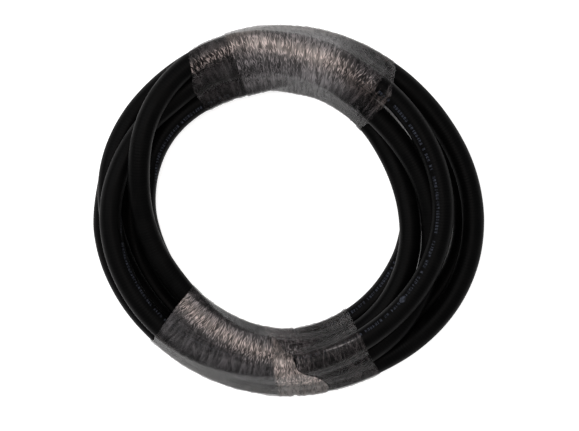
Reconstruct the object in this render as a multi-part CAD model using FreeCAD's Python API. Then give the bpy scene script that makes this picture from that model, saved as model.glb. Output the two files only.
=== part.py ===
import FreeCAD
import Part
import math
import os

Vector = FreeCAD.Vector

# A coil of plain rubber hose, lying flat, held by four bands of clear stretch film.
# Frame: millimetres, +Z up, Z axis through the middle of the coil, Z = 0 is the resting plane.

# ---------------------------------------------------------------- hose section
HOSE_BORE = 12.7
LINER_WALL = 1.2
BRAID_WALL = 0.6
COVER_WALL = 1.35

LINER_RADIUS = HOSE_BORE / 2 + LINER_WALL
BRAID_RADIUS = LINER_RADIUS + BRAID_WALL
COVER_RADIUS = BRAID_RADIUS + COVER_WALL
HOSE_OD = 2 * COVER_RADIUS

# ---------------------------------------------------------------- coil
COIL_MEAN_RADIUS = 131.0
STATIONS_PER_TURN = 24
FIRST_STATION_ANGLE = 120.0
TAIL_LENGTH = 20.0
TAIL_MARGIN = 1.0
ARC_SHARE = 0.45

# ---------------------------------------------------------------- film bands
FILM_THICKNESS = 0.4
FILM_CLEARANCE = 0.35
HULL_DIRECTIONS = 36
SECTION_STEP = 5.0

# Lowest hose surface: the film passes beneath the bundle.
HULL_FLAT = math.cos(math.pi / HULL_DIRECTIONS)
BUNDLE_LIFT = (COVER_RADIUS + 2 * (FILM_THICKNESS + FILM_CLEARANCE)) * HULL_FLAT - COVER_RADIUS

# Each turn runs anticlockwise from the left of the upper wrap: left span, lower wrap, right
# span, upper wrap. A lane is (outward offset from the mean radius, height of the centre), both
# in hose diameters, one for every 15 degrees. The first turn starts late and the last one ends
# early, because both hose ends are tucked under the bundle.
TURNS = [
    # outermost turn: emerges under its neighbour on the left, lies on another on the right
    [
        None, None, None, (1.28, 0.50), (1.54, 0.50), (1.52, 0.50),
        (1.38, 0.50), (1.21, 0.50), (1.13, 0.50), (1.10, 0.50), (1.07, 0.50), (1.08, 0.70),
        (1.16, 0.98), (1.40, 1.22), (1.61, 1.36), (1.67, 1.45), (1.55, 1.48), (1.32, 1.48),
        (1.06, 1.50), (0.92, 1.44), (0.87, 1.25), (0.91, 1.05), (1.00, 0.92), (1.05, 0.92),
    ],
    # crosses the outermost turn, then dives under the top turn and crosses inwards on the right
    [
        (1.07, 1.00), (1.18, 1.15), (1.34, 1.37), (1.40, 1.57), (1.22, 1.57), (0.95, 1.50),
        (0.75, 1.45), (0.65, 1.45), (0.60, 1.45), (0.60, 1.45), (0.60, 1.47), (0.58, 1.58),
        (0.55, 1.80), (0.45, 1.76), (0.20, 1.76), (-0.10, 1.85), (-0.40, 2.00), (-0.70, 2.05),
        (-0.95, 2.10), (-1.05, 2.15), (-0.95, 2.27), (-0.65, 2.41), (-0.35, 2.53), (-0.05, 2.52),
    ],
    # upper outer turn on the left, top middle turn on the right
    [
        (0.25, 2.42), (0.20, 2.35), (0.60, 2.32), (0.90, 2.52), (1.15, 2.60), (1.15, 2.55),
        (1.05, 2.50), (0.90, 2.45), (0.65, 2.50), (0.40, 2.50), (0.20, 2.50), (0.00, 2.58),
        (-0.10, 2.66), (-0.10, 2.70), (0.00, 2.78), (0.10, 2.90), (0.15, 2.95), (0.10, 2.85),
        (0.05, 2.80), (0.05, 2.80), (0.10, 2.80), (0.35, 2.85), (0.60, 2.95), (0.85, 3.05),
    ],
    # topmost turn, from the outside to the inside across the left span
    [
        (1.05, 3.10), (0.90, 3.30), (0.55, 3.40), (0.05, 3.30), (-0.30, 2.90), (-0.58, 2.60),
        (-0.87, 2.40), (-0.93, 2.15), (-0.75, 2.00), (-0.62, 1.88), (-0.50, 1.76), (-0.45, 1.64),
        (-0.45, 1.58), (-0.60, 1.55), (-0.85, 1.55), (-1.12, 1.55), (-1.40, 1.50), (-1.58, 1.25),
        (-1.63, 1.05), (-1.50, 0.85), (-1.33, 0.70), (-1.14, 0.55), (-1.05, 0.50), (-0.66, 0.50),
    ],
    # bottom middle turn, swings out under the outermost one, then in across the upper wrap
    [
        (-0.10, 0.50), (0.00, 0.50), (0.05, 0.50), (0.18, 0.50), (0.28, 0.50), (0.25, 0.50),
        (0.15, 0.50), (0.05, 0.50), (0.06, 0.50), (0.07, 0.50), (0.06, 0.50), (0.07, 0.50),
        (0.25, 0.50), (0.62, 0.50), (1.00, 0.50), (1.25, 0.50), (1.20, 0.50), (0.93, 0.50),
        (0.57, 0.50), (0.20, 0.60), (-0.13, 0.97), (-0.45, 1.35), (-0.80, 1.52), (-0.92, 1.57),
    ],
    # innermost turn, under its neighbours, ends in the right span
    [
        (-0.76, 1.50), (-0.49, 1.50), (-0.31, 1.50), (-0.31, 1.45), (-0.40, 1.35), (-0.62, 1.20),
        (-0.77, 1.10), (-0.89, 1.05), (-0.97, 0.98), (-0.95, 0.90), (-0.93, 0.80), (-1.02, 0.66),
        (-1.12, 0.55), (-1.17, 0.50), (-1.20, 0.50), (-1.17, 0.50), (-1.17, 0.50), None,
        None, None, None, None, None, None,
    ],
]

# Film bands: name, where the band starts and ends around the coil (degrees), and the stretch
# where it lies over another band.
FILM_BANDS = [
    ("upper_wrap_under", 98.0, 124.5, None),
    ("upper_wrap_over", 50.0, 109.5, (95.0, 109.5)),
    ("lower_wrap_right", 265.0, 300.0, None),
    ("lower_wrap_left", 220.0, 276.0, (262.0, 276.0)),
]
OVERLAP_RAMP = 2.0
SEW_TOLERANCE = 0.001


def polar(radius, angle, height):
    turn = math.radians(angle)
    return Vector(radius * math.cos(turn), radius * math.sin(turn), height)


def lane_radius(offset):
    return COIL_MEAN_RADIUS + offset * HOSE_OD


def lane_height(level):
    return BUNDLE_LIFT + level * HOSE_OD


def route_points():
    """Corner points of the hose's centre line, one for each station that a turn passes."""
    step = 360.0 / STATIONS_PER_TURN
    stand_out = 1 / math.cos(math.radians(step / 2))
    points = []
    for turn in TURNS:
        for index, lane in enumerate(turn):
            if lane is None:
                continue
            radius = lane_radius(lane[0]) * stand_out
            points.append(polar(radius, FIRST_STATION_ANGLE + index * step, lane_height(lane[1])))
    return points


def rounded_route(points):
    """Straight runs joined by tangent arcs, as a list of edges, and the arcs' radii."""
    edges = []
    radii = []
    start = points[0]
    for before, corner, after in zip(points, points[1:], points[2:]):
        arriving = (corner - before).normalize()
        leaving = (after - corner).normalize()
        half_turn = arriving.getAngle(leaving) / 2
        run_in = (corner - before).Length
        run_out = (after - corner).Length
        setback = ARC_SHARE * min(run_in, run_out)
        # the first and the last run stay straight for longer than the hose's tails
        if before is points[0]:
            setback = min(setback, run_in - TAIL_LENGTH - TAIL_MARGIN)
        if after is points[-1]:
            setback = min(setback, run_out - TAIL_LENGTH - TAIL_MARGIN)
        radius = setback / math.tan(half_turn)
        towards_middle = (leaving - arriving).normalize()
        crown = corner + towards_middle * (radius / math.cos(half_turn) - radius)
        arc_start = corner - arriving * setback
        arc_end = corner + leaving * setback
        edges.append(Part.LineSegment(start, arc_start).toShape())
        edges.append(Part.Arc(arc_start, crown, arc_end).toShape())
        radii.append(radius)
        start = arc_end
    edges.append(Part.LineSegment(start, points[-1]).toShape())
    return edges, radii


def annulus(centre, axis, inner_radius, outer_radius):
    outer = Part.Face(Part.Wire(Part.makeCircle(outer_radius, centre, axis)))
    inner = Part.Face(Part.Wire(Part.makeCircle(inner_radius, centre, axis)))
    return outer.cut(inner).Faces[0]


def coil_layer(path, inner_radius, outer_radius):
    """One layer of the hose along the whole coil."""
    first = path.OrderedEdges[0]
    centre = first.valueAt(first.FirstParameter)
    axis = first.tangentAt(first.FirstParameter)
    return path.makePipe(annulus(centre, axis, inner_radius, outer_radius))


def tail_layer(end, inwards, inner_radius, outer_radius):
    """The last straight stretch of one layer, from the cut end inwards."""
    return annulus(end, inwards, inner_radius, outer_radius).extrude(inwards * TAIL_LENGTH)


def lanes_at(angle):
    """Centre (radius, height) of each turn where the radial plane at this angle cuts it."""
    step = 360.0 / STATIONS_PER_TURN
    place = ((angle - FIRST_STATION_ANGLE) % 360.0) / step
    index = int(place)
    share = place - index
    lanes = []
    for number, turn in enumerate(TURNS):
        here = turn[index]
        if index + 1 < STATIONS_PER_TURN:
            there = turn[index + 1]
        else:
            there = TURNS[number + 1][0] if number + 1 < len(TURNS) else None
        if here is None or there is None:
            continue
        offset = here[0] + (there[0] - here[0]) * share
        level = here[1] + (there[1] - here[1]) * share
        lanes.append((lane_radius(offset), lane_height(level)))
    return lanes


def hull_wire(angle, margin):
    """Taut closed outline around all turns at one angle, margin outside their surface."""
    lanes = lanes_at(angle)
    corners = []
    for index in range(HULL_DIRECTIONS):
        direction = 2 * math.pi * (index + 0.5) / HULL_DIRECTIONS
        out = math.cos(direction)
        up = math.sin(direction)
        radius, height = max(lanes, key=lambda lane: lane[0] * out + lane[1] * up)
        reach = COVER_RADIUS + margin
        corners.append(polar(radius + reach * out, angle, height + reach * up))
    return Part.makePolygon(corners + corners[:1])


def band_margin(angle, overlap):
    """Gap between the hose and the inside of a band: wider where it covers another band."""
    margin = FILM_CLEARANCE
    if overlap is not None:
        into = min(max((angle - overlap[0]) / OVERLAP_RAMP, 0.0), 1.0)
        margin += into * (FILM_THICKNESS + FILM_CLEARANCE)
    return margin


def resting_flat(face):
    """A level face on a true plane, any other face as it is."""
    corners = [vertex.Point for vertex in face.OuterWire.OrderedVertexes]
    heights = [corner.z for corner in corners]
    if max(heights) - min(heights) > SEW_TOLERANCE / 100:
        return face
    return Part.Face(Part.makePolygon(corners + corners[:1]))


def film_band(start, end, overlap):
    """Sleeve of film pulled tight around the bundle."""
    count = max(int(round((end - start) / SECTION_STEP)), 2)
    angles = [start + (end - start) * index / count for index in range(count + 1)]
    if overlap is not None:
        angles += [overlap[0], overlap[0] + OVERLAP_RAMP]
        angles = [a for a in angles if a in angles[-2:] or min(abs(a - b) for b in angles[-2:]) > 2]
        angles.sort()
    inner = [hull_wire(angle, band_margin(angle, overlap)) for angle in angles]
    outer = [hull_wire(angle, band_margin(angle, overlap) + FILM_THICKNESS) for angle in angles]
    faces = [resting_flat(face) for face in Part.makeLoft(outer, False, True).Faces]
    faces += Part.makeLoft(inner, False, True).Faces
    for end in (0, -1):
        faces += Part.Face(outer[end]).cut(Part.Face(inner[end])).Faces
    shell = Part.makeShell(faces)
    shell.sewShape()
    solid = Part.makeSolid(shell)
    solid.fix(SEW_TOLERANCE, SEW_TOLERANCE, SEW_TOLERANCE)
    return solid


def export(name, shape):
    if shape.ShapeType != "Solid" and len(shape.Solids) == 1:
        shape = shape.Solids[0]
    if not shape.isValid() or shape.Volume <= 0:
        print("NOT VALID:", name)
    shape.exportStep(os.path.join("parts", name + ".step"))
    print("%-20s %10.1f mm3" % (name, shape.Volume))


def main():
    os.makedirs("parts", exist_ok=True)
    points = route_points()
    first_inwards = (points[1] - points[0]).normalize()
    last_inwards = (points[-2] - points[-1]).normalize()
    coil_points = list(points)
    coil_points[0] = points[0] + first_inwards * TAIL_LENGTH
    coil_points[-1] = points[-1] + last_inwards * TAIL_LENGTH
    edges, radii = rounded_route(points)
    edges[0] = Part.LineSegment(coil_points[0], edges[0].Vertexes[-1].Point).toShape()
    edges[-1] = Part.LineSegment(edges[-1].Vertexes[0].Point, coil_points[-1]).toShape()
    path = Part.Wire(edges)
    length = path.Length + 2 * TAIL_LENGTH
    print("hose length %.0f mm, arcs %.0f to %.0f mm" % (length, min(radii), max(radii)))

    layers = [
        ("liner", HOSE_BORE / 2, LINER_RADIUS),
        ("braid", LINER_RADIUS, BRAID_RADIUS),
        ("cover", BRAID_RADIUS, COVER_RADIUS),
    ]
    for name, inner_radius, outer_radius in layers:
        export("hose_" + name, coil_layer(path, inner_radius, outer_radius))
        tail = tail_layer(points[0], first_inwards, inner_radius, outer_radius)
        export("outer_end_" + name, tail)
        tail = tail_layer(points[-1], last_inwards, inner_radius, outer_radius)
        export("inner_end_" + name, tail)

    for name, start, end, overlap in FILM_BANDS:
        export(name, film_band(start, end, overlap))
    for label, end, straight in (("outer end", points[0], edges[0]), ("inner end", points[-1], edges[-1])):
        wall = straight.Length + TAIL_LENGTH
        inwards = first_inwards if label == "outer end" else last_inwards
        middle = end + inwards * (wall / 2)
        print(label, "straight wall %.3f mm, middle" % wall, [round(value, 3) for value in middle],
              "way out", [round(-value, 6) for value in inwards])


main()
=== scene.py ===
import bisect
import math
from collections import namedtuple

import bpy
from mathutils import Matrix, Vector, noise


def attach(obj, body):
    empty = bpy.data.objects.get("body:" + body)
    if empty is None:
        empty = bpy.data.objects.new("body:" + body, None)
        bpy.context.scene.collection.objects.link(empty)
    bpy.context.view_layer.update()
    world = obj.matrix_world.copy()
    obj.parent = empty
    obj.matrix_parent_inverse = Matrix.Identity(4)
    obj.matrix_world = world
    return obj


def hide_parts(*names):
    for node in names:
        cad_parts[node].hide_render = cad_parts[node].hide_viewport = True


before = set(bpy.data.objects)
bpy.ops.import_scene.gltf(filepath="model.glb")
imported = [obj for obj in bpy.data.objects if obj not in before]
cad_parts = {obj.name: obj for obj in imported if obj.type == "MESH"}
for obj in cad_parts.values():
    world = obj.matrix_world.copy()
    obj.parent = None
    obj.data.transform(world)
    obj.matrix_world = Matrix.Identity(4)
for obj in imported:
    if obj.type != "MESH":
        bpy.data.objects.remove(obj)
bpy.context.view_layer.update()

MM = 0.001

# ---------------------------------------------------------------- hose sizes, in mm and degrees

HOSE_OD = 19.0
HOSE_RADIUS = HOSE_OD / 2
BRAID_RADIUS = 8.15
CUT_LIP = 0.5
CLEAR_OF_CUT = 1.2
INSIDE_SHOWN = 12.0
SURFACE_WAVER = 0.006
RIB_SPACING = 2.6
PRINT_CELL = 2.7

COIL_MEAN_RADIUS = 131.0
BUNDLE_LIFT = 1.458
STATIONS_PER_TURN = 24
FIRST_STATION_ANGLE = 120.0
LINE_STEPS = 16
TUBE_SIDES = 36

# Where each turn lies at every station: (offset from the coil's mean radius, height of the
# centre), both in hose diameters.  None where the first turn hasn't begun or the last has ended.
TURNS = [
    # outermost turn: emerges under its neighbour on the left, lies on another on the right
    [
        None, None, None, (1.28, 0.50), (1.54, 0.50), (1.52, 0.50),
        (1.38, 0.50), (1.21, 0.50), (1.13, 0.50), (1.10, 0.50), (1.07, 0.50), (1.08, 0.70),
        (1.16, 0.98), (1.40, 1.22), (1.61, 1.36), (1.67, 1.45), (1.55, 1.48), (1.32, 1.48),
        (1.06, 1.50), (0.92, 1.44), (0.87, 1.25), (0.91, 1.05), (1.00, 0.92), (1.05, 0.92),
    ],
    # crosses the outermost turn, then dives under the top turn and crosses inwards on the right
    [
        (1.07, 1.00), (1.18, 1.15), (1.34, 1.37), (1.40, 1.57), (1.22, 1.57), (0.95, 1.50),
        (0.75, 1.45), (0.65, 1.45), (0.60, 1.45), (0.60, 1.45), (0.60, 1.47), (0.58, 1.58),
        (0.55, 1.80), (0.45, 1.76), (0.20, 1.76), (-0.10, 1.85), (-0.40, 2.00), (-0.70, 2.05),
        (-0.95, 2.10), (-1.05, 2.15), (-0.95, 2.27), (-0.65, 2.41), (-0.35, 2.53), (-0.05, 2.52),
    ],
    # upper outer turn on the left, top middle turn on the right
    [
        (0.25, 2.42), (0.20, 2.35), (0.60, 2.32), (0.90, 2.52), (1.15, 2.60), (1.15, 2.55),
        (1.05, 2.50), (0.90, 2.45), (0.65, 2.50), (0.40, 2.50), (0.20, 2.50), (0.00, 2.58),
        (-0.10, 2.66), (-0.10, 2.70), (0.00, 2.78), (0.10, 2.90), (0.15, 2.95), (0.10, 2.85),
        (0.05, 2.80), (0.05, 2.80), (0.10, 2.80), (0.35, 2.85), (0.60, 2.95), (0.85, 3.05),
    ],
    # topmost turn, from the outside to the inside across the left span
    [
        (1.05, 3.10), (0.90, 3.30), (0.55, 3.40), (0.05, 3.30), (-0.30, 2.90), (-0.58, 2.60),
        (-0.87, 2.40), (-0.93, 2.15), (-0.75, 2.00), (-0.62, 1.88), (-0.50, 1.76), (-0.45, 1.64),
        (-0.45, 1.58), (-0.60, 1.55), (-0.85, 1.55), (-1.12, 1.55), (-1.40, 1.50), (-1.58, 1.25),
        (-1.63, 1.05), (-1.50, 0.85), (-1.33, 0.70), (-1.14, 0.55), (-1.05, 0.50), (-0.66, 0.50),
    ],
    # bottom middle turn, swings out under the outermost one, then in across the upper wrap
    [
        (-0.10, 0.50), (0.00, 0.50), (0.05, 0.50), (0.18, 0.50), (0.28, 0.50), (0.25, 0.50),
        (0.15, 0.50), (0.05, 0.50), (0.06, 0.50), (0.07, 0.50), (0.06, 0.50), (0.07, 0.50),
        (0.25, 0.50), (0.62, 0.50), (1.00, 0.50), (1.25, 0.50), (1.20, 0.50), (0.93, 0.50),
        (0.57, 0.50), (0.20, 0.60), (-0.13, 0.97), (-0.45, 1.35), (-0.80, 1.52), (-0.92, 1.57),
    ],
    # innermost turn, under its neighbours, ends in the right span
    [
        (-0.76, 1.50), (-0.49, 1.50), (-0.31, 1.50), (-0.31, 1.45), (-0.40, 1.35), (-0.62, 1.20),
        (-0.77, 1.10), (-0.89, 1.05), (-0.97, 0.98), (-0.95, 0.90), (-0.93, 0.80), (-1.02, 0.66),
        (-1.12, 0.55), (-1.17, 0.50), (-1.20, 0.50), (-1.17, 0.50), (-1.17, 0.50), None,
        None, None, None, None, None, None,
    ],
]


def polar(radius, angle, height):
    turn = math.radians(angle)
    return Vector((radius * math.cos(turn), radius * math.sin(turn), height))


def route_points():
    """Control points of the hose's centre line, one for each station that a turn passes."""
    step = 360.0 / STATIONS_PER_TURN
    stand_out = 1 / math.cos(math.radians(step / 2))
    points = []
    for turn in TURNS:
        for index, lane in enumerate(turn):
            if lane is None:
                continue
            radius = (COIL_MEAN_RADIUS + lane[0] * HOSE_OD) * stand_out
            height = BUNDLE_LIFT + lane[1] * HOSE_OD
            points.append(polar(radius, FIRST_STATION_ANGLE + index * step, height) * MM)
    return points


def smooth_line(points, name, resolution):
    """Points along the NURBS spline that has these control points."""
    curve = bpy.data.curves.new(name, "CURVE")
    curve.dimensions = "3D"
    spline = curve.splines.new("NURBS")
    spline.points.add(len(points) - 1)
    for knot, point in zip(spline.points, points):
        knot.co = (*point, 1.0)
    spline.order_u = 3
    spline.use_endpoint_u = True
    spline.resolution_u = resolution
    holder = bpy.data.objects.new(name, curve)
    mesh = bpy.data.meshes.new_from_object(holder)
    line = [vertex.co.copy() for vertex in mesh.vertices]
    bpy.data.meshes.remove(mesh)
    bpy.data.objects.remove(holder)
    bpy.data.curves.remove(curve)
    return line


def smoothstep(low, high, value):
    share = min(max((value - low) / (high - low), 0.0), 1.0)
    return share * share * (3 - 2 * share)


def hump(centre, width, value):
    return math.exp(-(((value - centre) / width) ** 2))


def mesh_piece(name, vertices, faces, coat):
    mesh = bpy.data.meshes.new(name)
    mesh.from_pydata(vertices, [], faces)
    mesh.update()
    mesh.shade_smooth()
    piece = bpy.data.objects.new(name, mesh)
    bpy.context.scene.collection.objects.link(piece)
    piece.data.materials.append(coat)
    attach(piece, "root")
    return piece


def paint(piece, name, values):
    """Store one number for each vertex, for the finish to read."""
    layer = piece.data.attributes.new(name, "FLOAT", "POINT")
    layer.data.foreach_set("value", values)


# ---------------------------------------------------------------- finishes

class Finish:
    """A material's node tree, with short ways to add and join nodes."""

    def __init__(self, tree):
        self.tree = tree
        self.nodes = tree.nodes

    def add(self, kind, inputs=(), **settings):
        node = self.nodes.new("ShaderNode" + kind)
        for key, value in settings.items():
            setattr(node, key, value)
        for key, value in dict(inputs).items():
            if isinstance(value, bpy.types.NodeSocket):
                self.tree.links.new(value, node.inputs[key])
            else:
                node.inputs[key].default_value = value
        return node

    def math(self, operation, first, second=0.0, third=0.0, clamp=False):
        node = self.add("Math", {0: first, 1: second, 2: third}, operation=operation)
        node.use_clamp = clamp
        return node.outputs[0]

    def remap(self, value, low, high, to_low=0.0, to_high=1.0):
        sockets = {0: value, 1: low, 2: high, 3: to_low, 4: to_high}
        return self.add("MapRange", sockets, interpolation_type="SMOOTHSTEP").outputs[0]

    def mix(self, share, first, second):
        """Blend of two colours."""
        return self.add("Mix", {0: share, 6: first, 7: second}, data_type="RGBA").outputs[2]

    def around(self, value, centre, full, none):
        """One within full of the centre, and nothing from none outwards."""
        apart = self.math("ABSOLUTE", self.math("SUBTRACT", value, centre))
        return self.remap(apart, full, none, 1.0, 0.0)

    def noise(self, vector, scale, detail=2.0, roughness=0.5):
        inputs = {"Vector": vector, "Scale": scale, "Detail": detail, "Roughness": roughness}
        return self.add("TexNoise", inputs).outputs["Fac"]

    def painted(self, name):
        return self.add("Attribute", attribute_name=name).outputs["Fac"]

    def vector(self, x, y, z=0.0):
        return self.add("CombineXYZ", {0: x, 1: y, 2: z}).outputs[0]


def material(name):
    made = bpy.data.materials.new(name)
    made.use_nodes = True
    made.node_tree.nodes.clear()
    finish = Finish(made.node_tree)
    shader = finish.add("BsdfPrincipled")
    output = finish.add("OutputMaterial")
    finish.tree.links.new(shader.outputs[0], output.inputs[0])
    return made, finish, shader


def feed(finish, shader, **sources):
    """Join or set the shader's inputs, with underscores for the spaces in their names."""
    for name, value in sources.items():
        socket = shader.inputs[name.replace("_", " ")]
        if isinstance(value, bpy.types.NodeSocket):
            finish.tree.links.new(value, socket)
        else:
            socket.default_value = value


def effect(name, inputs, outputs):
    """A node group of number sockets: inputs with the values they start from, and outputs."""
    tree = bpy.data.node_groups.new(name, "ShaderNodeTree")
    for label, value in inputs.items():
        socket = tree.interface.new_socket(label, in_out="INPUT", socket_type="NodeSocketFloat")
        socket.default_value = value
    for label in outputs:
        tree.interface.new_socket(label, in_out="OUTPUT", socket_type="NodeSocketFloat")
    finish = Finish(tree)
    source = tree.nodes.new("NodeGroupInput")
    sink = tree.nodes.new("NodeGroupOutput")
    return finish, source.outputs, sink.inputs


def placed(finish, group, inputs):
    """Outputs of the node group, fed with these inputs."""
    return finish.add("Group", inputs, node_tree=group).outputs


def crease_marks():
    """Marks of creased film: short tapered strokes, and thin wandering lines, in patches."""
    finish, given, result = effect(
        "crease_marks",
        {"Along": 0.0, "Across": 0.0, "Slant": 0.0, "Spacing": 1.5, "Length": 12.0,
         "Thickness": 0.05, "Cover": 0.5, "Seed": 0.0},
        ("Strokes", "Lines", "Swell"),
    )
    flat = finish.vector(given["Along"], given["Across"])
    turned = finish.add("VectorRotate", {"Vector": flat, "Angle": given["Slant"]},
                        rotation_type="Z_AXIS").outputs[0]
    parts = finish.add("SeparateXYZ", {0: turned}).outputs
    cell = finish.vector(finish.math("DIVIDE", parts[0], given["Spacing"]),
                         finish.math("DIVIDE", parts[1], given["Length"]), given["Seed"])
    wave = finish.noise(cell, 1.0, 0.4, 0.5)
    line = finish.around(wave, 0.5, 0.0, given["Thickness"])
    edge = finish.math("SUBTRACT", 0.74, finish.math("MULTIPLY", given["Cover"], 0.26))
    stroke = finish.remap(wave, edge, finish.math("ADD", edge, 0.13))
    blotch = finish.noise(finish.vector(finish.math("MULTIPLY", parts[0], 0.13),
                                        finish.math("MULTIPLY", parts[1], 0.07),
                                        finish.math("ADD", given["Seed"], 7.3)), 1.0, 1.0)
    rim = finish.math("SUBTRACT", 0.78, finish.math("MULTIPLY", given["Cover"], 0.56))
    patch = finish.remap(blotch, finish.math("SUBTRACT", rim, 0.08), finish.math("ADD", rim, 0.08))
    finish.tree.links.new(stroke, result["Strokes"])
    finish.tree.links.new(finish.math("MULTIPLY", line, patch), result["Lines"])
    finish.tree.links.new(wave, result["Swell"])
    return finish.tree


CREASES = crease_marks()


def cover_rubber():
    """Satin black rubber, cured in a cloth wrap that leaves fine ribs round the hose."""
    made, finish, shader = material("cover_rubber")
    run = finish.painted("run")
    lap = finish.painted("lap")
    spot = finish.add("TexCoord").outputs["Object"]
    wander = finish.noise(spot, 60.0, 2.0)
    place = finish.math("ADD", run, finish.math("MULTIPLY", wander, 0.35))
    rib = finish.math("SINE", finish.math("MULTIPLY", place, 2 * math.pi / RIB_SPACING))
    crispness = finish.remap(finish.noise(spot, 25.0, 1.0), 0.35, 0.65, 0.35, 1.0)
    ribs = finish.math("MULTIPLY", rib, crispness)
    weave = finish.noise(finish.vector(finish.math("MULTIPLY", run, 1.6),
                                       finish.math("MULTIPLY", lap, 1.6)), 1.0, 2.0, 0.6)
    height = finish.math("ADD", finish.math("MULTIPLY", ribs, 0.5), finish.math("MULTIPLY", weave, 0.5))
    bump = finish.add("Bump", {"Strength": 0.35, "Distance": 0.2 * MM, "Height": height}).outputs[0]
    # bloom and handling marks
    haze = finish.remap(finish.noise(spot, 38.0, 3.0, 0.6), 0.42, 0.75)
    tone = finish.mix(haze, (0.0010, 0.0010, 0.0011, 1), (0.0024, 0.0023, 0.0023, 1))
    tone = finish.mix(finish.math("MULTIPLY", finish.remap(rib, 0.2, 1.0), 0.35), tone,
                      (0.0034, 0.0033, 0.0033, 1))
    # printed line: pale ticks, bars and blocks with no meaning
    cell_run = finish.math("DIVIDE", run, PRINT_CELL)
    cell = finish.math("FLOOR", cell_run)
    within = finish.math("FRACT", cell_run)
    dice = finish.add("TexWhiteNoise", {"W": cell}, noise_dimensions="1D").outputs["Value"]
    dice_again = finish.add("TexWhiteNoise", {"W": finish.math("ADD", cell, 0.37)},
                            noise_dimensions="1D").outputs["Value"]
    across = finish.painted("print_across")
    in_line = finish.around(across, 0.0, 1.25, 1.6)
    upright = finish.around(within, 0.28, 0.07, 0.13)
    second = finish.around(within, 0.66, 0.07, 0.13)
    second = finish.math("MULTIPLY", second, finish.math("GREATER_THAN", dice, 0.35))
    level = finish.math("SUBTRACT", finish.math("MULTIPLY", dice_again, 2.4), 1.2)
    bar = finish.around(across, level, 0.15, 0.35)
    bar = finish.math("MULTIPLY", bar, finish.around(within, 0.47, 0.20, 0.28))
    marks = finish.math("MAXIMUM", finish.math("MAXIMUM", upright, second), bar)
    marks = finish.math("MULTIPLY", marks, in_line)
    marks = finish.math("MULTIPLY", marks, finish.math("GREATER_THAN", dice, 0.14))
    worn = finish.remap(finish.noise(spot, 420.0, 2.0), 0.35, 0.62, 0.25, 1.0)
    marks = finish.math("MULTIPLY", marks, worn)
    spot_mark = finish.remap(finish.painted("spot_away"), 2.2, 3.4, 1.0, 0.0)
    marks = finish.math("MAXIMUM", marks, finish.math("MULTIPLY", spot_mark, worn))
    tone = finish.mix(marks, tone, (0.045, 0.050, 0.066, 1))
    rough = finish.remap(haze, 0.0, 1.0, 0.42, 0.56)
    feed(finish, shader, Base_Color=tone, Roughness=rough, Normal=bump, Specular_IOR_Level=0.035)
    return made


def inner_rubber():
    """Smooth extruded liner, with faint drag lines from the die."""
    made, finish, shader = material("liner_rubber")
    spot = finish.add("TexCoord").outputs["Object"]
    drag = finish.noise(spot, 900.0, 2.0, 0.7)
    bump = finish.add("Bump", {"Strength": 0.2, "Distance": 0.1 * MM, "Height": drag}).outputs[0]
    tone = finish.mix(drag, (0.010, 0.010, 0.011, 1), (0.022, 0.021, 0.021, 1))
    feed(finish, shader, Base_Color=tone, Roughness=0.38, Normal=bump, Specular_IOR_Level=0.3)
    return made


def braid_yarn():
    """Off-white yarn, spiralled both ways round the liner."""
    made, finish, shader = material("braid_yarn")
    spot = finish.add("TexCoord").outputs["Object"]
    strands = finish.add("TexVoronoi", {"Vector": spot, "Scale": 950.0}).outputs["Distance"]
    fuzz = finish.noise(spot, 2600.0, 2.0, 0.6)
    height = finish.math("ADD", strands, finish.math("MULTIPLY", fuzz, 0.4))
    bump = finish.add("Bump", {"Strength": 0.6, "Distance": 0.2 * MM, "Height": height}).outputs[0]
    tone = finish.mix(finish.remap(strands, 0.1, 0.6), (0.62, 0.58, 0.50, 1), (0.30, 0.27, 0.22, 1))
    feed(finish, shader, Base_Color=tone, Roughness=0.85, Normal=bump)
    return made


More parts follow.
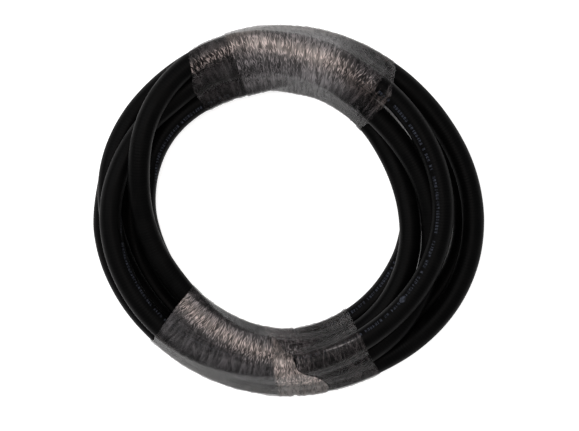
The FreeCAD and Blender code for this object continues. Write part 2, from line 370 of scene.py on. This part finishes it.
def stretch_film():
    """Clear film wound over itself: creased, hazy where it has been pulled, glossy, with painted
    highlights, painted glints and painted shade in its colour.
    """
    made, finish, shader = material("stretch_film")
    along = finish.painted("along")
    across = finish.painted("across")
    # haze holds the film's milkiness and also its painted highlights and painted shade, read off as
    # greys
    haze = finish.painted("haze")
    creased_and_glinting = finish.painted("creased_and_glinting")
    drawn = finish.painted("drawn")
    warm_reflection = finish.painted("warm_reflection")
    place = {"Along": along, "Across": across}
    leaning = placed(finish, CREASES, {**place, "Slant": 0.30, "Spacing": 0.90, "Length": 6.0,
                                       "Cover": 0.60, "Seed": 1.0})
    falling = placed(finish, CREASES, {**place, "Slant": -0.45, "Spacing": 1.0, "Length": 5.5,
                                       "Cover": 0.52, "Seed": 5.0})
    upright = placed(finish, CREASES, {**place, "Slant": -0.04, "Spacing": 0.85, "Length": 8.0,
                                       "Cover": 0.62, "Seed": 9.0})
    long_fold = placed(finish, CREASES, {**place, "Slant": 0.10, "Spacing": 5.0, "Length": 42.0,
                                         "Thickness": 0.055, "Cover": 0.75, "Seed": 13.0})
    cross_fold = placed(finish, CREASES, {**place, "Slant": -0.34, "Spacing": 6.5, "Length": 45.0,
                                          "Thickness": 0.045, "Cover": 0.60, "Seed": 17.0})
    strokes = finish.math("MAXIMUM", leaning["Strokes"], falling["Strokes"])
    strokes = finish.math("MAXIMUM", strokes, upright["Strokes"])
    strokes = finish.math("MULTIPLY", strokes, finish.math("MULTIPLY", creased_and_glinting, 0.85))
    folds = finish.math("MAXIMUM", long_fold["Lines"], cross_fold["Lines"])
    folds = finish.math("MULTIPLY", folds, finish.math("MULTIPLY", drawn, 0.20))
    marks = finish.math("MAXIMUM", strokes, folds, clamp=True)
    mottle = finish.noise(finish.vector(finish.math("MULTIPLY", along, 0.30),
                                        finish.math("MULTIPLY", across, 0.05)), 1.0, 2.5, 0.55)
    veil_and_light = finish.math("MULTIPLY", haze, finish.remap(mottle, 0.28, 0.72, 0.50, 1.50), clamp=True)
    # film colour tinted by the painted warm reflection: pinkish where the lamp shows in the film, bluish
    # grey elsewhere
    pale = finish.mix(warm_reflection, (0.345, 0.350, 0.375, 1), (0.400, 0.350, 0.325, 1))
    body = finish.mix(veil_and_light, (0.003, 0.003, 0.003, 1), pale)
    # colour of the crease marks: pale crushed film, with painted glints in the lamp's pinkish light
    crease_and_glint_tone = finish.mix(warm_reflection, (0.50, 0.49, 0.55, 1), (0.84, 0.69, 0.65, 1))
    tone = finish.mix(marks, body, crease_and_glint_tone)
    swell = finish.math("ADD", leaning["Swell"], upright["Swell"])
    creased = finish.math("ADD", finish.math("MULTIPLY", creased_and_glinting, 0.8), 0.05)
    height = finish.math("MULTIPLY", swell, creased)
    height = finish.math("ADD", height, finish.math("MULTIPLY", strokes, 0.3))
    bump = finish.add("Bump", {"Strength": 0.6, "Distance": 0.4 * MM, "Height": height}).outputs[0]
    cloud = finish.math("ADD", 0.45, finish.math("MULTIPLY", veil_and_light, 0.8))
    alpha = finish.math("MAXIMUM", cloud, finish.math("MULTIPLY", marks, 0.95), clamp=True)
    rough = finish.remap(veil_and_light, 0.0, 1.0, 0.30, 0.48)
    feed(finish, shader, Base_Color=tone, Roughness=rough, Normal=bump, Alpha=alpha,
         Specular_IOR_Level=0.14)
    return made


COVER_RUBBER = cover_rubber()
LINER_RUBBER = inner_rubber()
BRAID_YARN = braid_yarn()
STRETCH_FILM = stretch_film()


# ---------------------------------------------------------------- hose

# How far the printed line lies from the crown, in degrees, positive towards the outside of the
# coil, along the unrolled angle of the hose.  Two turns show it, the others keep it underneath.
PRINT_ROLL = [
    (165, -180), (870, -180), (920, -47), (945, -47), (1040, -30), (1130, -30), (1195, -180),
    (1850, -180), (1925, -30), (1955, -30), (1985, -110), (2050, -110), (2095, -30), (2160, -30),
]

# The printed line of the top turn opens with one worn round spot.
SPOT_ANGLE = 1041.5


def print_roll(angle):
    for (low, low_roll), (high, high_roll) in zip(PRINT_ROLL, PRINT_ROLL[1:]):
        if angle <= high:
            return low_roll + (high_roll - low_roll) * smoothstep(low, high, angle)
    return PRINT_ROLL[-1][1]


def unrolled_angles(line):
    """Angle round the coil at each point, counted on from turn to turn."""
    angles = []
    turn = 0.0
    for point in line:
        angle = math.degrees(math.atan2(point.y, point.x)) + turn
        while angles and angle < angles[-1] - 180:
            angle += 360
            turn += 360
        angles.append(angle)
    shift = 360 if angles[0] < 0 else 0
    return [angle + shift for angle in angles]


def hose_tube(line, angles):
    """The hose's cover, with its cut ends and the first stretch of its inside wall."""
    sides = TUBE_SIDES
    up = Vector((0, 0, 1))
    vertices = []
    run = []
    lap = []
    print_across = []
    spot_away = []
    spot_run = 0.0
    for before, after, angle in zip(line, line[1:], angles):
        if angle < SPOT_ANGLE:
            spot_run += (after - before).length / MM
    distance = 0.0
    rings = 0

    def ring(centre, ahead, radius, angle, where):
        nonlocal rings
        out = ahead.cross(up).normalized()
        crown = out.cross(ahead).normalized()
        roll = math.radians(print_roll(angle))
        for side in range(sides):
            turn = 2 * math.pi * side / sides - math.pi
            soft = 1 + SURFACE_WAVER * noise.noise(Vector((where * 60, math.cos(turn), math.sin(turn))))
            reach = radius * soft
            vertices.append(centre + out * (reach * math.sin(turn)) + crown * (reach * math.cos(turn)))
            run.append(where / MM)
            lap.append(turn * HOSE_RADIUS)
            apart = turn - roll
            near = math.cos(apart) > 0
            print_across.append(math.sin(apart) * HOSE_RADIUS if near else HOSE_RADIUS)
            spot_away.append(math.hypot(where / MM - spot_run, print_across[-1]))
        rings += 1

    last = len(line) - 1
    tangents = [(line[min(i + 1, last)] - line[max(i - 1, 0)]).normalized() for i in range(last + 1)]
    lip = CUT_LIP * MM
    inwards = [(INSIDE_SHOWN * MM, BRAID_RADIUS * MM), (0.0, BRAID_RADIUS * MM),
               (0.0, HOSE_RADIUS * MM - lip)]
    for depth, radius in inwards:
        ring(line[0] + tangents[0] * depth, tangents[0], radius, angles[0], 0.0)
    ring(line[0] + tangents[0] * lip, tangents[0], HOSE_RADIUS * MM, angles[0], 0.0)
    for index in range(1, last):
        distance += (line[index] - line[index - 1]).length
        if distance > CLEAR_OF_CUT * MM:
            ring(line[index], tangents[index], HOSE_RADIUS * MM, angles[index], distance)
    distance += (line[last] - line[last - 1]).length
    end = line[last]
    ring(end - tangents[last] * lip, tangents[last], HOSE_RADIUS * MM, angles[last], distance)
    for depth, radius in reversed(inwards):
        ring(end - tangents[last] * depth, tangents[last], radius, angles[last], distance)
    faces = []
    for index in range(rings - 1):
        low = index * sides
        for side in range(sides):
            after = (side + 1) % sides
            faces.append((low + side, low + sides + side, low + sides + after, low + after))
    tube = mesh_piece("hose", vertices, faces, COVER_RUBBER)
    paint(tube, "run", run)
    paint(tube, "lap", lap)
    paint(tube, "print_across", print_across)
    paint(tube, "spot_away", spot_away)
    return tube, distance


centre_line = smooth_line(route_points(), "hose_line", LINE_STEPS)
line_angles = unrolled_angles(centre_line)
hose, hose_length = hose_tube(centre_line, line_angles)
print("hose length along its line: %.3f m" % hose_length)
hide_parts("hose_cover", "outer_end_cover", "inner_end_cover")

for stretch in ("hose", "outer_end", "inner_end"):
    for layer, layer_finish in (("braid", BRAID_YARN), ("liner", LINER_RUBBER)):
        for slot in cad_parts[stretch + "_" + layer].material_slots:
            slot.material = layer_finish


# ---------------------------------------------------------------- film

# In mm.  A strip stands off the hose, and stands off further where it lies on another strip.
FILM_OFF_HOSE = 0.45
FILM_OVER_FILM = 0.75
FLOOR_CLEARANCE = 0.45
DEEPEST_DIP = 4.0

# In mm: where angles round the coil become lengths on the film, and where widths are taken.
UNROLLED_RADIUS = 150.0
WIDTH_RADIUS = 140.0

# How finely a strip is divided: points round it, degrees between rows, and degrees between the
# places where its taut outline is worked out.
GIRTH_POINTS = 300
ROW_STEP = 0.36
OUTLINE_STEP = 2.0

# One strip's finish, with its painted highlights and painted shade, and folds, as functions, and how far
# it is drawn in between the strands.
Look = namedtuple("Look", "finish folds drape")


def strands_at(angle):
    """Centre (plan radius, height) in mm of each strand of hose at one angle round the coil."""
    strands = []
    turn_angle = angle % 360
    while turn_angle < line_angles[-1]:
        if turn_angle > line_angles[0]:
            high = bisect.bisect_right(line_angles, turn_angle, 1, len(line_angles) - 1)
            low = high - 1
            share = (turn_angle - line_angles[low]) / max(line_angles[high] - line_angles[low], 1e-9)
            point = centre_line[low].lerp(centre_line[high], share) / MM
            strands.append((math.hypot(point.x, point.y), point.z))
        turn_angle += 360
    return strands


def hull_outline(strands, reach, samples):
    """Evenly spaced points round the taut outline of the bundle, from the middle of its underside."""
    directions = 720
    corners = []
    for index in range(directions):
        direction = 2 * math.pi * index / directions - math.pi / 2
        out = math.cos(direction)
        up = math.sin(direction)
        radius, height = max(strands, key=lambda strand: strand[0] * out + strand[1] * up)
        corners.append((radius + reach * out, height + reach * up, out, up))
    lowest = min(height for radius, height in strands)
    resting = [radius for radius, height in strands if height < lowest + 1.0]
    start = sum(resting) / len(resting)
    # begin where the underside passes below the middle of the resting strands
    lengths = [0.0]
    loop = corners + corners[:1]
    for before, after in zip(loop, loop[1:]):
        lengths.append(lengths[-1] + math.hypot(after[0] - before[0], after[1] - before[1]))
    total = lengths[-1]
    best = 0.0
    for index in range(directions):
        before, after = loop[index], loop[index + 1]
        if before[3] < 0 and (before[0] - start) * (after[0] - start) <= 0 and after[0] != before[0]:
            share = (start - before[0]) / (after[0] - before[0])
            best = lengths[index] + share * (lengths[index + 1] - lengths[index])
            break
    outline = []
    index = 0
    for sample in range(samples):
        target = (best + total * sample / samples) % total
        if target < lengths[index]:
            index = 0
        while lengths[index + 1] < target:
            index += 1
        share = (target - lengths[index]) / max(lengths[index + 1] - lengths[index], 1e-9)
        before, after = loop[index], loop[index + 1]
        outline.append(tuple(a + (b - a) * share for a, b in zip(before, after)))
    return outline, total


def gap_below(point, strands):
    """How far the taut film stands off the hose at one point, straight inwards."""
    radius, height, out, up = point
    best = 30.0
    for strand_radius, strand_height in strands:
        away_r = strand_radius - radius
        away_z = strand_height - height
        ahead = -(away_r * out + away_z * up)
        aside = -away_r * up + away_z * out
        inside = HOSE_RADIUS ** 2 - aside ** 2
        if inside > 0 and ahead > 0:
            best = min(best, ahead - math.sqrt(inside))
    return max(best, 0.0)


def softened(values, rounds):
    count = len(values)
    for _ in range(rounds):
        values = [(values[i - 1] + 2 * values[i] + values[(i + 1) % count]) / 4 for i in range(count)]
    return values


def band_outlines(low, high, count, stand_off, drape):
    """Taut outline, dips between the strands and girth at evenly spaced angles round the coil."""
    outlines = []
    for index in range(count + 1):
        angle = low + (high - low) * index / count
        strands = strands_at(angle)
        outline, total = hull_outline(strands, HOSE_RADIUS + stand_off(angle), GIRTH_POINTS)
        gaps = softened([gap_below(point, strands) for point in outline], 6)
        dips = []
        for point, gap in zip(outline, gaps):
            upper = smoothstep(0.3, 0.9, point[3])
            dips.append(min(gap * drape * upper, DEEPEST_DIP))
        outlines.append((outline, softened(dips, 24), total))
    return outlines


def film_band(name, node, edges, stand_off, look):
    """A sleeve of stretch film round the bundle, drawn in between the strands and creased."""
    start, end = edges
    samples = GIRTH_POINTS
    shares = [place / 20 for place in range(21)]
    low = min(start(share) for share in shares)
    high = max(end(share) for share in shares)
    rows = int((high - low) / ROW_STEP) + 1
    count = int((high - low) / OUTLINE_STEP) + 2
    outlines = band_outlines(low, high, count, stand_off, look.drape)
    vertices = []
    marks = {mark: [] for mark in ("along", "across", "haze", "creased_and_glinting", "drawn", "warm_reflection")}
    for row in range(rows + 1):
        for sample in range(samples):
            share = sample / samples
            angle = start(share) + (end(share) - start(share)) * row / rows
            place = (angle - low) / (high - low) * count
            index = min(max(int(place), 0), count - 1)
            part = place - index
            first, first_dips, first_total = outlines[index]
            second, second_dips, second_total = outlines[index + 1]
            ends = zip(first[sample], second[sample])
            radius, height, out, up = (a + (b - a) * part for a, b in ends)
            dip = first_dips[sample] + (second_dips[sample] - first_dips[sample]) * part
            total = first_total + (second_total - first_total) * part
            along = math.radians(angle) * UNROLLED_RADIUS
            across = share * total
            fold = look.folds(angle, radius, along, across)
            # the film lies smooth where it touches the floor
            off_floor = smoothstep(0.8, 3.0, height - 0.4)
            lift = (fold * smoothstep(-0.9, 0.0, up) - dip) * off_floor
            radius += out * lift
            height = max(height + up * lift, FLOOR_CLEARANCE)
            vertices.append(polar(radius, angle, height) * MM)
            painted = (along, across, *look.finish(angle, radius, up))
            for values, value in zip(marks.values(), painted):
                values.append(value)
    faces = []
    for row in range(rows):
        base = row * samples
        for sample in range(samples):
            after = (sample + 1) % samples
            faces.append((base + sample, base + after, base + samples + after, base + samples + sample))
    band = mesh_piece(name, vertices, faces, STRETCH_FILM)
    for mark, values in marks.items():
        paint(band, mark, values)
    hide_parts(node)
    middle = outlines[len(outlines) // 2]
    spans = [end(share) - start(share) for share in shares[:-1]]
    width = math.radians(sum(spans) / len(spans)) * WIDTH_RADIUS * MM
    print(name, "width %.3f m, girth %.3f m" % (width, middle[2] * MM))
    return band, width, middle[2] * MM


def ripple(along, across, spacing, length, seed):
    """Ridged creases that run across the band."""
    value = noise.noise(Vector((along / spacing, across / length, seed)))
    return (1 - min(abs(value) * 2, 1.0)) ** 1.4


def tone_to_haze_and_light(tone):
    """Share of the film's own pale colour that gives this grey, from 0 to 255; the greys hold painted
    highlights and painted shade as well as haze.
    """
    pale = 0.33
    value = max(tone, 0.0) / 255
    linear = ((value + 0.055) / 1.055) ** 2.4 if value > 0.04 else value / 12.92
    return linear / pale


# Each strip's haze with its painted light, and its folds.  Angles are in degrees round the coil, radii
# in mm from its middle, and tones are greys from 0 to 255 with painted highlights and shade.  A finish
# gives haze, creased_and_glinting, drawn and warm_reflection.

def upper_over_haze_and_light(angle, radius, up):
    # painted light: the film is pale only where it faces up, with painted shade on its steep sides
    lit_from_above = smoothstep(-0.3, 0.3, up)
    # painted highlight: bright band of reflected lamp light that runs from the outside on the left to
    # the middle on the right
    crown = 132 + 19 * smoothstep(72, 118, angle) - 8 * smoothstep(72, 58, angle)
    base = 18 + 58 * smoothstep(55, 76, angle) - 18 * smoothstep(98, 110, angle)
    ridge_highlight = 46 * smoothstep(62, 80, angle) * (1 - 0.45 * smoothstep(102, 110, angle))
    tone = base + ridge_highlight * hump(crown, 8.2, radius)
    # more painted highlights and painted shade in rows: lighter near 114 and 146 mm and at the outer
    # edge, darker near 124.5 mm and on the outer slope towards the right end
    tone += 26 * hump(114, 7, radius) * smoothstep(56, 66, angle) * (1 - 0.5 * smoothstep(78, 90, angle))
    tone += 14 * hump(146, 6, radius) * smoothstep(68, 74, angle) * smoothstep(94, 88, angle)
    tone -= 14 * hump(124.5, 4.5, radius) * smoothstep(80, 88, angle)
    tone -= 14 * smoothstep(142, 149, radius) * smoothstep(80, 66, angle)
    tone += 12 * smoothstep(152, 157, radius) * smoothstep(60, 68, angle)
    # crease strokes gather on the bright band, with their painted glints
    creased_and_glinting = 0.06 + 0.94 * hump(crown - 1, 12.5, radius) * smoothstep(57, 72, angle)
    creased_and_glinting = max(creased_and_glinting, 0.42 * smoothstep(64, 76, angle) * smoothstep(106, 114, radius))
    creased_and_glinting = max(creased_and_glinting, 0.75 * hump(131, 9, radius) * smoothstep(52, 58, angle))
    creased_and_glinting *= 1 - 0.9 * smoothstep(150, 155, radius)
    drawn = 0.20 + 0.65 * smoothstep(70, 58, angle)
    # painted warm reflection on the bright band and at the outer edge
    warm_reflection = 0.35 + 0.65 * hump(crown, 9.5, radius) + 0.5 * smoothstep(152, 157, radius)
    return tone_to_haze_and_light(tone) * lit_from_above, creased_and_glinting * lit_from_above, drawn * lit_from_above, min(warm_reflection, 1.0)


def upper_over_folds(angle, radius, along, across):
    fine = ripple(along, across, 3.2, 16, 1.0) * 0.30 + ripple(along, across, 6.5, 30, 4.0) * 0.40
    gather = smoothstep(64, 55, angle)
    peak_radius = 159
    peak = math.radians(58) * UNROLLED_RADIUS
    fan = math.atan2(radius - peak_radius, along - peak - 1.5)
    pleats = math.sin(fan * 9 + 2 * noise.noise(Vector((along / 9, radius / 9, 0.3))))
    pleats *= smoothstep(3, 10, math.hypot(radius - peak_radius, along - peak))
    return fine * (1 - 0.6 * gather) + gather * pleats * 0.35


def upper_under_haze_and_light(angle, radius, up):
    # painted light: pale only where the film faces up
    lit_from_above = smoothstep(-0.3, 0.3, up)
    # greys with painted highlights and painted shade: lighter at both edges, near 130 mm and at the
    # lower angles, a darker line across at 110.5 degrees
    tone = 22 + 14 * smoothstep(149, 156, radius) + 10 * hump(130, 7, radius)
    tone += 16 * smoothstep(122, 112, angle) + 12 * smoothstep(108, 104, radius)
    tone -= 14 * hump(110.5, 1.6, angle)
    # crease strokes with painted glints and a painted warm reflection in a row near 146 mm
    creased_and_glinting = 0.05 + 0.80 * hump(146, 6, radius)
    warm_reflection = 0.45 + 0.55 * hump(146, 6, radius)
    return tone_to_haze_and_light(tone) * lit_from_above, creased_and_glinting * lit_from_above, 0.45 * lit_from_above, warm_reflection


def upper_under_folds(angle, radius, along, across):
    return ripple(along, across, 5.0, 35, 8.0) * 0.45 + ripple(along, across, 9, 50, 11.0) * 0.5


def lower_left_haze_and_light(angle, radius, up):
    # painted light: pale only where the film faces up
    lit_from_above = smoothstep(-0.3, 0.3, up)
    inner = 120 + 4.5 * smoothstep(238, 262, angle)
    doubled = smoothstep(263.5, 265, angle - 0.09 * (radius - 129))
    # greys with painted highlights and painted shade: a bright band of reflected light on the inner
    # ridge, dark valley lines near inner + 12 mm and 153 mm, darker at the outer edge and on the inner
    # side below 255 and past 263 degrees, lighter where the strip lies doubled on the next one
    tone = 59
    tone += 36 * hump(inner - 1.5, 10.5, radius)
    tone -= 44 * smoothstep(112, 108.5, radius) * smoothstep(260, 255, angle)
    tone -= 16 * hump(inner + 12, 2.6, radius)
    tone -= 22 * hump(153, 2.2, radius)
    tone -= 14 * smoothstep(154.5, 157, radius)
    tone += 40 * doubled * smoothstep(127, 130, radius)
    tone -= 18 * smoothstep(263, 267, angle) * smoothstep(128.5, 125, radius)
    # crease strokes with painted glints on the inner ridge and on the doubled part
    creased_and_glinting = 0.95 * hump(inner, 9.5, radius) * (1 - 0.7 * smoothstep(262, 266, angle)) + 0.08
    creased_and_glinting = max(creased_and_glinting, 0.85 * doubled * smoothstep(127, 131, radius))
    creased_and_glinting *= 1 - 0.9 * smoothstep(150, 154, radius)
    drawn = 0.20 + 0.55 * hump(142, 8.6, radius)
    # painted warm reflection on the inner ridge, at the outer edge and on the doubled part
    warm_reflection = 0.30 + 0.70 * hump(inner, 8.6, radius) + 0.5 * smoothstep(153, 157, radius)
    warm_reflection += 0.7 * doubled
    return tone_to_haze_and_light(tone) * lit_from_above, creased_and_glinting * lit_from_above, drawn * lit_from_above, min(warm_reflection, 1.0)


def lower_left_folds(angle, radius, along, across):
    return ripple(along, across, 2.8, 22, 21.0) * 0.35 + ripple(along, across, 7.0, 40, 23.0) * 0.4


def lower_right_haze_and_light(angle, radius, up):
    # painted light: pale only where the film faces up
    lit_from_above = smoothstep(-0.3, 0.3, up)
    # greys with painted highlights: a thin painted glint line near 125.5 mm, lighter near 121.5 mm, at
    # both edges and towards the strip's start, darker towards its end
    tone = 17 + 18 * hump(121.5, 4.3, radius) + 18 * smoothstep(280, 268, angle)
    tone += 85 * hump(125.5, 1.0, radius) * smoothstep(282, 288, angle)
    tone += 14 * smoothstep(107, 103, radius)
    tone += 10 * smoothstep(152, 157, radius)
    tone *= 1 - 0.4 * smoothstep(295, 300, angle)
    creased_and_glinting = 0.45 * smoothstep(282, 272, angle) + 0.05
    return tone_to_haze_and_light(tone) * lit_from_above, creased_and_glinting * lit_from_above, 0.62 * lit_from_above, 0.55


def lower_right_folds(angle, radius, along, across):
    return ripple(along, across, 4.5, 45, 31.0) * 0.45 + ripple(along, across, 9, 60, 33.0) * 0.6


def ragged(angle, depth, seed, lean=0.0):
    """An edge at this angle that wavers by depth degrees, and leans by up to lean outwards."""
    def edge(share):
        turn = 2 * math.pi * share
        waver = noise.noise(Vector((math.cos(turn) * 2.2, math.sin(turn) * 2.2, seed)))
        return angle + depth * waver + lean * math.sin(turn)
    return edge


def gathered_edge(share):
    """The right end of the upper wrap: pulled to a peak on the outside, loose over the top."""
    turn = 2 * math.pi * share
    outside = max(math.sin(turn), 0.0) ** 3
    waver = noise.noise(Vector((math.cos(turn) * 3.0, math.sin(turn) * 3.0, 3.3)))
    return 47.4 + 6.0 * outside + 1.6 * waver


def on_the_hose(angle):
    """Stand-off of a strip that lies on the hose everywhere."""
    return FILM_OFF_HOSE


def over_another(low, high):
    """Stand-off that grows between two angles, where the strip climbs on another one."""
    return lambda angle: FILM_OFF_HOSE + FILM_OVER_FILM * smoothstep(low, high, angle)


bands = [
    film_band("film_upper_under", "upper_wrap_under",
              (ragged(98, 0.5, 1), ragged(124.0, 0.6, 2, -5.2)),
              on_the_hose, Look(upper_under_haze_and_light, upper_under_folds, 0.16)),
    film_band("film_upper_over", "upper_wrap_over",
              (gathered_edge, ragged(109.6, 0.6, 4, 0.3)),
              over_another(94, 98), Look(upper_over_haze_and_light, upper_over_folds, 0.10)),
    film_band("film_lower_right", "lower_wrap_right",
              (ragged(263.5, 0.4, 5, 4.5), ragged(300.0, 0.2, 6, -0.6)),
              on_the_hose, Look(lower_right_haze_and_light, lower_right_folds, 0.30)),
    film_band("film_lower_left", "lower_wrap_left",
              (ragged(221.4, 0.3, 7, 2.8), ragged(272.0, 0.6, 8, 11.0)),
              over_another(261, 265), Look(lower_left_haze_and_light, lower_left_folds, 0.30)),
]


# ---------------------------------------------------------------- stage, light and camera

# The camera looks straight down.  In metres: how far it is from the middle of the bundle, how
# wide a field it sees there, and where it is.  In mm: its sensor.
CAMERA_HEIGHT = 4.0
FIELD_WIDTH = 0.500
CAMERA_PLACE = (0.0017, -0.0052, CAMERA_HEIGHT + 0.035)
SENSOR_WIDTH = 36.0


def stage_floor():
    """White paper that glows to the eye, except in the deepest gaps of the coil."""
    made, finish, shader = material("studio_floor")
    path = finish.add("LightPath").outputs
    seen = finish.math("MAXIMUM", path["Is Camera Ray"], path["Is Glossy Ray"])
    seen = finish.math("MAXIMUM", seen, path["Is Transmission Ray"])
    open_sky = finish.add("AmbientOcclusion", {"Distance": 0.15}, samples=8).outputs["AO"]
    seen = finish.math("MULTIPLY", seen, finish.remap(open_sky, 0.18, 0.36))
    paper = finish.noise(finish.add("TexCoord").outputs["Object"], 3.0, 2.0)
    tone = finish.mix(paper, (0.80, 0.80, 0.80, 1), (0.82, 0.82, 0.82, 1))
    feed(finish, shader, Base_Color=tone, Roughness=0.9, Specular_IOR_Level=0.1,
         Emission_Color=(1, 1, 1, 1), Emission_Strength=finish.math("MULTIPLY", seen, 0.75))
    half = 4.0
    corners = [(-half, -half, 0), (half, -half, 0), (half, half, 0), (-half, half, 0)]
    mesh = bpy.data.meshes.new("studio_floor")
    mesh.from_pydata(corners, [], [(0, 1, 2, 3)])
    floor = bpy.data.objects.new("studio_floor", mesh)
    floor.data.materials.append(made)
    bpy.context.scene.collection.objects.link(floor)


def lamp(name, place, size, power, tone):
    """Round lamp that faces the middle of the coil."""
    data = bpy.data.lights.new(name, "AREA")
    data.shape = "DISK"
    data.size = size
    data.energy = power
    data.color = tone
    made = bpy.data.objects.new(name, data)
    made.location = place
    made.rotation_euler = (-Vector(place)).to_track_quat("-Z", "Y").to_euler()
    bpy.context.scene.collection.objects.link(made)


def stage_world():
    world = bpy.data.worlds.new("studio")
    bpy.context.scene.world = world
    world.use_nodes = True
    finish = Finish(world.node_tree)
    background = world.node_tree.nodes["Background"]
    path = finish.add("LightPath").outputs
    finish.tree.links.new(finish.remap(path["Is Camera Ray"], 0.0, 1.0, 0.55, 1.0),
                          background.inputs["Strength"])
    background.inputs["Color"].default_value = (1, 1, 1, 1)


def stage_camera():
    data = bpy.data.cameras.new("camera")
    data.sensor_width = SENSOR_WIDTH
    data.lens = SENSOR_WIDTH * CAMERA_HEIGHT / FIELD_WIDTH
    data.clip_end = 20.0
    camera = bpy.data.objects.new("camera", data)
    camera.location = CAMERA_PLACE
    bpy.context.scene.collection.objects.link(camera)
    bpy.context.scene.camera = camera


stage_floor()
stage_world()
lamp("lamp_overhead", (-0.10, 0.25, 1.9), 0.90, 9.0, (1.0, 0.93, 0.90))
lamp("lamp_soft", (-1.2, 0.6, 1.6), 1.5, 14.0, (0.97, 0.98, 1.0))
stage_camera()

bpy.context.scene.view_settings.view_transform = "Standard"
